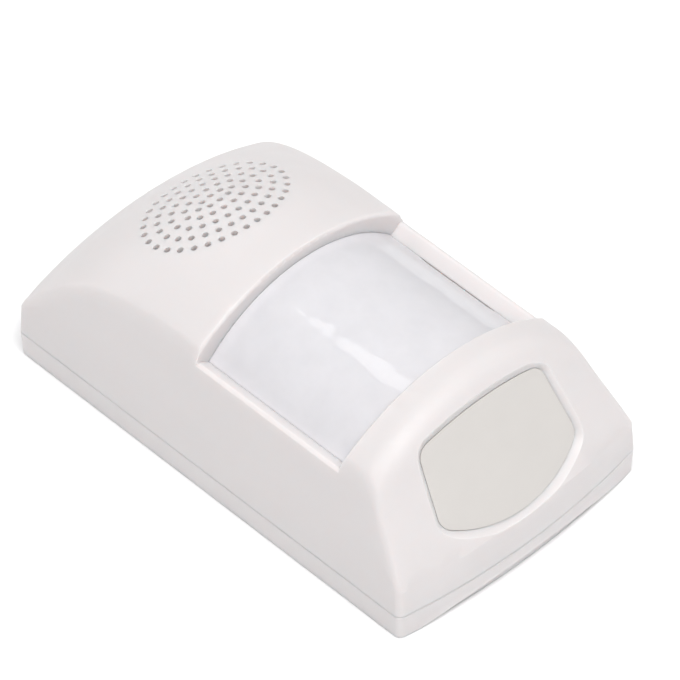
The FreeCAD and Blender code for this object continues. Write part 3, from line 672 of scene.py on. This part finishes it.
@dataclass
class Lens:
    """The arched lens sheet and the frame that holds it from inside."""

    shape: FilmShape = FilmShape()

    def section(self, radius: float, half: float, low: float, top: float) -> tuple[Grid, Grid]:
        """One skin of the sheet's cross-section, from the left foot over the arch.

        A side is an upright leg and a bend along a parabola, which meets the circle of the
        arch. The right side mirrors the left one.

        Args:
            radius: Radius of the skin's arch.
            half: Half of the skin's width.
            low: Height of its feet.
            top: Height of the top of its arch.

        Returns:
            The x and z of its points, one row each, and each point's angle on the arch.
        """
        bend = self.shape.bend
        axis = top - radius
        reach = math.asin(half / radius)
        corner = axis + math.sqrt(radius ** 2 - half ** 2)
        angle = np.linspace(-reach + bend / radius, reach - bend / radius, self.shape.across)
        arch = np.column_stack((radius * np.sin(angle), axis + radius * np.cos(angle)))
        count = self.shape.leg_points
        leg = np.column_stack((np.full(count, -half), np.linspace(low, corner - bend, count)))
        t = np.linspace(0, 1, self.shape.turn_points + 2)[1:-1, None]
        turn = leg[-1] * (1 - t) ** 2 + 2 * t * (1 - t) * np.array([-half, corner]) + arch[0] * t ** 2
        left = np.vstack((leg, turn))
        path = np.vstack((left, arch, left[::-1] * (-1, 1)))
        return path, np.concatenate((np.full(len(left), -reach), angle, np.full(len(left), reach)))

    def ripple(self, s: Grid, y: Grid) -> Grid:
        """Faint waves over the film, a sum of cosines.

        Each wave has its own direction, length and start, drawn at random.

        Args:
            s: Distance across the arch.
            y: Distance along the sheet.

        Returns:
            Heights from about -1 to 1.
        """
        f = self.shape
        dice = np.random.default_rng(f.seed)
        turn = dice.uniform(0, 2 * np.pi, f.waves)
        size = dice.uniform(*f.wave_sizes, f.waves)
        start = dice.uniform(0, 2 * np.pi, f.waves)
        phase = (s[..., None] * np.cos(turn) + y[..., None] * np.sin(turn)) * 2 * np.pi / size + start
        return np.cos(phase).sum(-1) / (2 * math.sqrt(f.waves))

    def facets(self, s: Grid, y: Grid, near: float, far: float) -> Grid:
        """Height of the ring facets, which fill the inner side in rows and columns.

        It is a cosine of the distance from the middle of each cell.

        Args:
            s: Distance across the arch.
            y: Distance along the sheet.
            near: The sheet's near end.
            far: The sheet's far end.

        Returns:
            Heights from 0 to the facet depth.
        """
        f = self.shape
        wide = 2 * f.radius * math.asin(1 / math.sqrt(2)) / f.columns
        tall = (far - near) / f.rows
        across = (s / wide + f.columns / 2) % 1 - 0.5
        up = ((y - near) / tall) % 1 - 0.5
        return f.facet * (0.5 - 0.5 * np.cos(2 * np.pi * np.hypot(across * wide, up * tall) / f.ring))

    def sheet(self) -> bpy.types.Object:
        """Builds the sheet from its two skins.

        A skin is its cross-section carried along y. The outer one rises by lift, and falls by
        the waves and by the sink, which grows with the cube of the distance from sink_from.
        The inner one rises by the facets. Towards the ends of the arch both skins move out by
        close, with the square of the distance, but the bowed part of the right side moves in
        by bow. The skins make one closed loop, and both ends are capped.

        Returns:
            The sheet, which replaces the CAD film.
        """
        f = self.shape
        low, high = (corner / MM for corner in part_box("fresnel_lens"))
        y = np.linspace(low.y, high.y, f.along)[:, None]
        sink = f.sink * np.clip((f.sink_from - y) / (f.sink_from - low.y), 0, 1) ** 3
        window = np.clip((f.bow_far - y) / f.bow_fade, 0, 1) * np.clip((y - f.bow_near) / f.bow_fade, 0, 1)
        window = window * window * (3 - 2 * window)
        skins = []
        for depth in (0.0, f.film):
            path, angle = self.section(f.radius - depth, high.x - depth, low.z, high.z - depth)
            s = f.radius * angle[None, :]
            reach = angle.max()
            on_arch = np.clip((reach - np.abs(angle)) / f.wave_span, 0, 1)
            at_right = np.clip((angle - reach + f.side_span) / f.side_span, 0, 1) ** 2
            at_left = np.clip((-angle - reach + f.side_span) / f.side_span, 0, 1) ** 2
            x = path[:, 0] - f.close * at_left + at_right * (f.close - (f.close + f.bow) * window)
            if depth:
                z = path[:, 1] + on_arch * self.facets(s, y, low.y, high.y)
            else:
                z = path[:, 1] + on_arch * (f.lift - sink - f.wave * (1 + self.ripple(s, y)))
            skins.append(np.stack((x, np.broadcast_to(y, x.shape), z), -1))
        loop = np.concatenate((skins[0], skins[1][:, ::-1]), 1)
        rows, count = loop.shape[:2]
        i, j = np.meshgrid(np.arange(rows - 1), np.arange(count), indexing="ij")
        k = (j + 1) % count
        sides = np.stack((i * count + j, i * count + k, (i + 1) * count + k, (i + 1) * count + j), -1)
        m = np.arange(count // 2 - 1)
        cap = np.stack((m, count - 1 - m, count - 2 - m, m + 1), -1)
        faces = np.vstack((sides.reshape(-1, 4), cap, cap[:, ::-1] + (rows - 1) * count))
        piece = piece_from("lens_sheet", loop.reshape(-1, 3), faces, FILM)
        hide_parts("fresnel_lens")
        return piece

    def build(self) -> list[bpy.types.Object]:
        """Builds the sheet and dresses the frame."""
        return [self.sheet(), dress("lens_frame", INNER), dress("lens_frame_screws", STEEL)]


@dataclass
class Inside:
    """Everything that the closed casing hides."""

    finishes: dict[str, Finish] = field(default_factory=lambda: {
        "main_board": GREEN, "board_screws": STEEL, "sensor_holder": RESIN, "pyro_sensor": CAN,
        "pyro_filter": FILTER, "control_chip": RESIN, "radio_module": CAN, "storage_capacitors": SLEEVE,
        "battery_holder_left": RESIN, "battery_holder_right": RESIN, "battery_left": SLEEVE,
        "battery_right": SLEEVE, "plate_contact_left": STEEL, "plate_contact_right": STEEL,
        "spring_contact_left": STEEL, "spring_contact_right": STEEL, "speaker_gasket": FOAM,
        "speaker_frame": BASKET, "speaker_magnet": STEEL, "speaker_cone": CONE, "speaker_clamp": INNER,
        "clamp_screws": STEEL, "lead_socket": IVORY, "speaker_leads": LEAD, "light_board": GREEN,
        "light_lamps": LAMP, "light_bracket": INNER, "light_connector": IVORY,
    })

    def build(self) -> list[bpy.types.Object]:
        """Dresses each inner node."""
        return [dress(node, finish) for node, finish in self.finishes.items()]


# Studio


@dataclass(frozen=True)
class View:
    """The photograph's camera, from a fit to the casing's outline.

    The object's origin is seen at origin_px in a frame of frame_px, at scale_px pixels for
    each millimetre, from distance_mm.
    """

    azimuth: float = -43.47
    elevation: float = 46.1
    roll: float = -0.79
    distance_mm: float = 1500.0
    scale_px: float = 5.04
    frame_px: float = 680.0
    origin_px: tuple[float, float] = (324.94, 408.95)
    sensor_mm: float = 36.0
    nearest_m: float = 0.05
    farthest_m: float = 20.0

    def build(self) -> None:
        """Places the camera."""
        a = math.radians(self.azimuth)
        e = math.radians(self.elevation)
        t = math.radians(self.roll)
        back = Vector((math.sin(a) * math.cos(e), -math.cos(a) * math.cos(e), math.sin(e)))
        right = Vector((math.cos(a), math.sin(a), 0))
        up = back.cross(right)
        right, up = right * math.cos(t) + up * math.sin(t), up * math.cos(t) - right * math.sin(t)
        half = self.frame_px / 2
        across = (self.origin_px[0] - half) / self.scale_px
        above = (half - self.origin_px[1]) / self.scale_px
        data = bpy.data.cameras.new("photo_camera")
        data.sensor_width = self.sensor_mm
        data.lens = self.sensor_mm * self.scale_px * self.distance_mm / self.frame_px
        data.clip_start, data.clip_end = self.nearest_m, self.farthest_m
        camera = bpy.data.objects.new("photo_camera", data)
        bpy.context.scene.collection.objects.link(camera)
        turn = Matrix((right, up, back)).transposed().to_4x4()
        place = back * self.distance_mm - right * across - up * above
        camera.matrix_world = Matrix.Translation(place * MM) @ turn
        bpy.context.scene.camera = camera


@dataclass(frozen=True)
class Softbox:
    """One light panel that faces the object, with angles in degrees and sizes in metres."""

    name: str
    azimuth: float
    elevation: float
    distance: float
    width: float
    height: float
    power: float
    shape: Outline = Outline.RECTANGLE

    def build(self) -> None:
        """Places the light."""
        a, e = math.radians(self.azimuth), math.radians(self.elevation)
        away = Vector((math.sin(a) * math.cos(e), -math.cos(a) * math.cos(e), math.sin(e)))
        data = bpy.data.lights.new(self.name, "AREA")
        data.shape = self.shape.value
        data.size, data.size_y = self.width, self.height
        data.energy = self.power
        light = bpy.data.objects.new(self.name, data)
        bpy.context.scene.collection.objects.link(light)
        light.location = away * self.distance
        light.rotation_mode = "QUATERNION"
        light.rotation_quaternion = away.to_track_quat("Z", "Y")


@dataclass
class Studio:
    """Pale floor, pale surroundings and soft lights."""

    sky: float = 0.2
    floor_colour: Colour = (0.92, 0.92, 0.925)
    floor_half: float = 6.0
    floor_gap_mm: float = 0.2
    paper_roughness: float = 0.9
    paper_gloss: float = 0.1
    lights: tuple[Softbox, ...] = (
        Softbox("key_softbox", -30.0, 68.0, 2.4, 1.6, 1.6, 38.0),
        Softbox("top_softbox", 0.0, 85.0, 2.2, 2.0, 2.0, 12.8),
        Softbox("left_softbox", -43.0, 50.0, 2.4, 1.6, 1.6, 8.8),
        Softbox("near_softbox", 5.0, 38.0, 2.4, 1.6, 1.6, 3.5),
        Softbox("right_softbox", 90.0, 40.0, 2.4, 1.6, 1.6, 5.0),
        Softbox("far_softbox", 180.0, 30.0, 2.4, 3.0, 1.2, 14.0),
        Softbox("lens_softbox", 171.0, 63.2, 2.0, 0.36, 0.24, 0.74, Outline.ELLIPSE),
    )

    def build(self) -> None:
        """Makes the floor, the world and the lights."""
        h = self.floor_half
        mesh = bpy.data.meshes.new("studio_floor")
        mesh.from_pydata([(-h, -h, 0), (h, -h, 0), (h, h, 0), (-h, h, 0)], [], [(0, 1, 2, 3)])
        floor = bpy.data.objects.new("studio_floor", mesh)
        bpy.context.scene.collection.objects.link(floor)
        w = Wiring("studio_paper")
        w.settle(Base_Color=(*self.floor_colour, 1.0), Roughness=self.paper_roughness,
                 Specular_IOR_Level=self.paper_gloss)
        mesh.materials.append(w.material)
        floor.location.z = -self.floor_gap_mm * MM
        world = bpy.data.worlds.new("studio")
        world.use_nodes = True
        world.node_tree.nodes["Background"].inputs["Color"].default_value = (1.0, 1.0, 1.0, 1.0)
        world.node_tree.nodes["Background"].inputs["Strength"].default_value = self.sky
        bpy.context.scene.world = world
        for light in self.lights:
            light.build()
        settings = bpy.context.scene.view_settings
        settings.view_transform = "Standard"
        settings.look = "None"
        settings.exposure = 0.0


def main() -> None:
    """Sets up the studio, builds each sub-assembly in order and reports each piece."""
    logging.basicConfig(level=logging.INFO, format="%(message)s")
    View().build()
    Studio().build()
    for part in (Casing(), Window(), Lens(), Inside()):
        for piece in part.build():
            log.info("%s: %s", type(part).__name__, piece.name)


if __name__ == "__main__":
    main()
